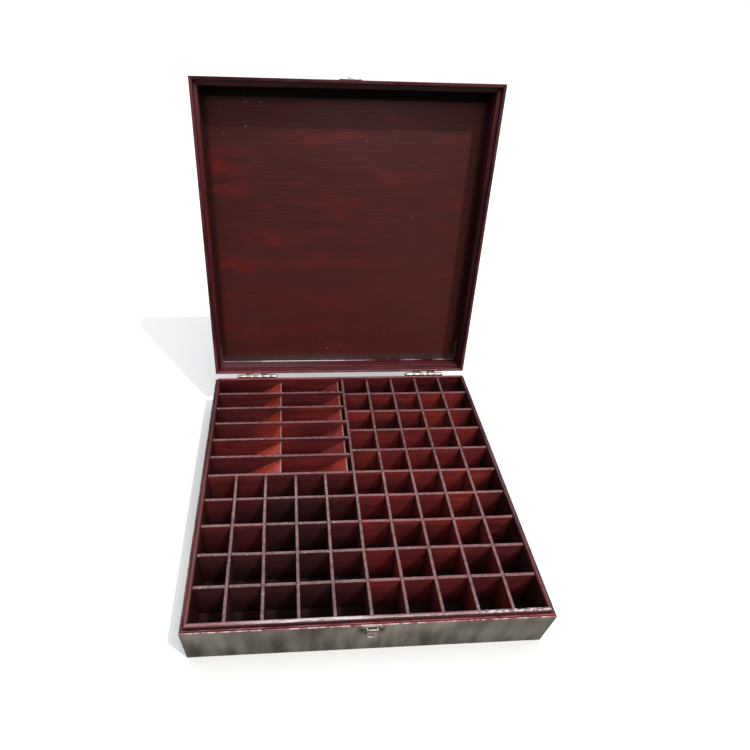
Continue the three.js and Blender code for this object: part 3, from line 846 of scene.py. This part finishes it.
def screw_head():
    """A round head, its top domed and slotted, with its rim half sunk in the XY plane."""
    bpy.ops.object.select_all(action="DESELECT")
    bpy.ops.mesh.primitive_cylinder_add(vertices=28, radius=SCREW_HEAD, depth=SCREW_RISE)
    head = bpy.context.object
    bpy.ops.object.mode_set(mode="EDIT")
    bpy.ops.mesh.select_mode(type="FACE")
    bpy.ops.mesh.select_all(action="DESELECT")
    bpy.ops.object.mode_set(mode="OBJECT")
    for face in head.data.polygons:
        face.select = face.normal.z > 0.9
    bpy.ops.object.mode_set(mode="EDIT")
    for rise in DOME_STEPS:
        bpy.ops.mesh.inset(thickness=DOME_INSET)
        bpy.ops.transform.translate(value=(0, 0, rise))
    bpy.ops.object.mode_set(mode="OBJECT")
    bpy.ops.object.select_all(action="DESELECT")
    bpy.ops.mesh.primitive_cube_add(size=1, location=(0, 0, SLOT_HEIGHT))
    blade = bpy.context.object
    blade.scale = (3 * SCREW_HEAD, SLOT_WIDTH, 2 * SLOT_WIDTH)
    slot_cut = head.modifiers.new("slot", "BOOLEAN")
    slot_cut.object = blade
    bpy.context.view_layer.objects.active = head
    bpy.ops.object.modifier_apply(modifier=slot_cut.name)
    bpy.data.objects.remove(blade)
    return head


screw = screw_head()


def drive_screw(name, place, facing, turn, metal, body):
    """Sets a copy of the screw's head on a face, with its slot turned as it came to rest."""
    bpy.ops.object.select_all(action="DESELECT")
    copy = screw.copy()
    copy.data = screw.data.copy()
    copy.name = name
    bpy.context.scene.collection.objects.link(copy)
    copy.data.transform(Matrix.Rotation(turn, 4, "Z"))
    copy.data.transform(facing.to_track_quat("Z", "Y").to_matrix().to_4x4())
    copy.data.transform(Matrix.Translation(place))
    copy.data.materials.clear()
    copy.data.materials.append(metal)
    copy.select_set(True)
    bpy.context.view_layer.objects.active = copy
    bpy.ops.object.shade_smooth_by_angle(angle=math.radians(30))
    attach(copy, body)


def opened(point):
    """Where a point of the shut lid is while the lid stands open."""
    return shut_turn.inverted() @ (Vector(point) - lid_pivot) + lid_pivot


# The faces of the leaves and of the latch, and the holes in them. A leaf's holes are given by
# their distances from its middle and from the hinge's pin.
PIN_TO_LEAF = 0.0036
LEAF_FACE = lid_pivot.y - PIN_TO_LEAF
LEAF_HOLES = ((-0.021, 0.013), (0.0, 0.0155), (0.021, 0.013))
LEAF_STEP = 0.0003
CASE_BACK = Vector((0, 1, 0))
CASE_FRONT = Vector((0, -1, 0))
LID_BACK = shut_turn.inverted() @ CASE_BACK
LID_FRONT = shut_turn.inverted() @ CASE_FRONT
for side in ("left", "right"):
    low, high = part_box(f"hinge_{side}_case_leaf")
    middle = (low.x + high.x) / 2
    for i, (across, away) in enumerate(LEAF_HOLES):
        at = Vector((middle + across, LEAF_FACE, lid_pivot.z - away))
        drive_screw(f"hinge_{side}_case_screw_{i + 1}", at, CASE_BACK, 0.7 + 1.9 * i,
                    hinge_metal, "case")
        at = opened((middle + across, LEAF_FACE + LEAF_STEP, lid_pivot.z + away))
        drive_screw(f"hinge_{side}_lid_screw_{i + 1}", at, LID_BACK, 0.3 + 1.3 * i,
                    hinge_metal, "lid")

PLATE_FACE = -HALF_SIZE - 0.001
PLATE_HOLES_Z = WALL_TOP - 0.0088
KEEPER_FACE = -HALF_SIZE - 0.0011
KEEPER_HOLES_Z = WALL_TOP + 0.0078
LATCH_HOLE_X = 0.0103
dark_metal = plated_metal("darkened nickel", (0.07, 0.062, 0.05), (0.035, 0.03, 0.024), 0.5)
for i, across in enumerate((-LATCH_HOLE_X, LATCH_HOLE_X)):
    at = Vector((across, PLATE_FACE, PLATE_HOLES_Z))
    drive_screw(f"latch_plate_screw_{i + 1}", at, CASE_FRONT, 0.5 + 1.1 * i,
                dark_metal, "case")
    at = opened((across, KEEPER_FACE, KEEPER_HOLES_Z))
    drive_screw(f"latch_keeper_screw_{i + 1}", at, LID_FRONT, 0.9 + 0.8 * i,
                latch_metal, "lid")
bpy.data.objects.remove(screw)

# ---------------------------------------------------------------- floor, light and camera
# A plain pale floor under a soft white ceiling. The main lamp is sun-like, high at the front
# right; a strip lamp behind the case lights its crowns, and a soft one in front the cells.
FLOOR_SIZE = 40
SEEN_FLOOR = (0.8, 0.8, 0.79)
BOUNCING_FLOOR = (0.2, 0.195, 0.18)
bpy.ops.mesh.primitive_plane_add(size=FLOOR_SIZE)
floor = bpy.context.object
floor.name = "floor"
floor_finish = bpy.data.materials.new("pale floor")
floor_finish.use_nodes = True
floor_tree = floor_finish.node_tree
floor_shader = floor_tree.nodes["Principled BSDF"]
seen = put(floor_tree, "ShaderNodeLightPath").outputs["Is Camera Ray"]
floor_colour = blended(floor_tree, seen, BOUNCING_FLOOR, SEEN_FLOOR)
floor_tree.links.new(floor_colour, floor_shader.inputs["Base Color"])
floor_shader.inputs["Roughness"].default_value = 0.8
floor.data.materials.append(floor_finish)

# The ceiling's light fades towards a dim horizon, which itself is seen as pale as the floor.
HORIZON_LIGHT = 0.12
CEILING_LIGHT = 1.5
SEEN_LIGHT = 0.95
ROOM_WHITE = (0.93, 0.96, 1.0, 1.0)
room = bpy.data.worlds.new("soft white room")
room.use_nodes = True
room_tree = room.node_tree
background = room_tree.nodes["Background"]
facing = put(room_tree, "ShaderNodeTexCoord").outputs["Generated"]
_, _, rise = sides(room_tree, facing)
glow = ramp_mask(room_tree, rise, 0.35, 0.95)
strength = blended(room_tree, glow, HORIZON_LIGHT, CEILING_LIGHT, "FLOAT")
in_sight = put(room_tree, "ShaderNodeLightPath").outputs["Is Camera Ray"]
strength = blended(room_tree, in_sight, strength, SEEN_LIGHT, "FLOAT")
room_tree.links.new(strength, background.inputs["Strength"])
background.inputs["Color"].default_value = ROOM_WHITE
bpy.context.scene.world = room
bpy.context.scene.view_settings.view_transform = "Standard"


def lamp(kind, place, aimed_at, energy):
    """Adds a lamp that shines from a place towards a point."""
    bpy.ops.object.light_add(type=kind, location=place)
    made = bpy.context.object
    made.rotation_euler = (place - aimed_at).to_track_quat("Z", "Y").to_euler()
    made.data.energy = energy
    return made.data


MIDDLE = Vector((0, 0, 0))
FRONT_CROWN = Vector((0, -0.19, 0.06))
SUN_STRENGTH = 1.7
STRIP_WATTS = 25
FILL_WATTS = 5
key = lamp("SUN", Vector((0.42, -0.29, 1.0)), MIDDLE, SUN_STRENGTH)
key.color = (1.0, 0.96, 0.9)
key.angle = math.radians(2.5)
strip = lamp("AREA", Vector((-0.1, 1.75, 2.3)), FRONT_CROWN, STRIP_WATTS)
strip.shape = "RECTANGLE"
strip.size = 1.6
strip.size_y = 0.3
fill = lamp("AREA", Vector((0.3, -1.0, 1.75)), MIDDLE, FILL_WATTS)
fill.size = 0.8

CAMERA_PLACE = (-0.0798, -0.4279, 0.5947)
CAMERA_TURN = (46.67, -2.05, -3.6)
SENSOR_WIDTH = 36
LENS = 24.66
LENS_SHIFT = (0.062, 0.0395)
bpy.ops.object.camera_add(location=CAMERA_PLACE)
camera = bpy.context.object
camera.rotation_euler = [math.radians(angle) for angle in CAMERA_TURN]
camera.data.sensor_width = SENSOR_WIDTH
camera.data.lens = LENS
camera.data.shift_x, camera.data.shift_y = LENS_SHIFT
camera.data.clip_start = 0.01
bpy.context.scene.camera = camera
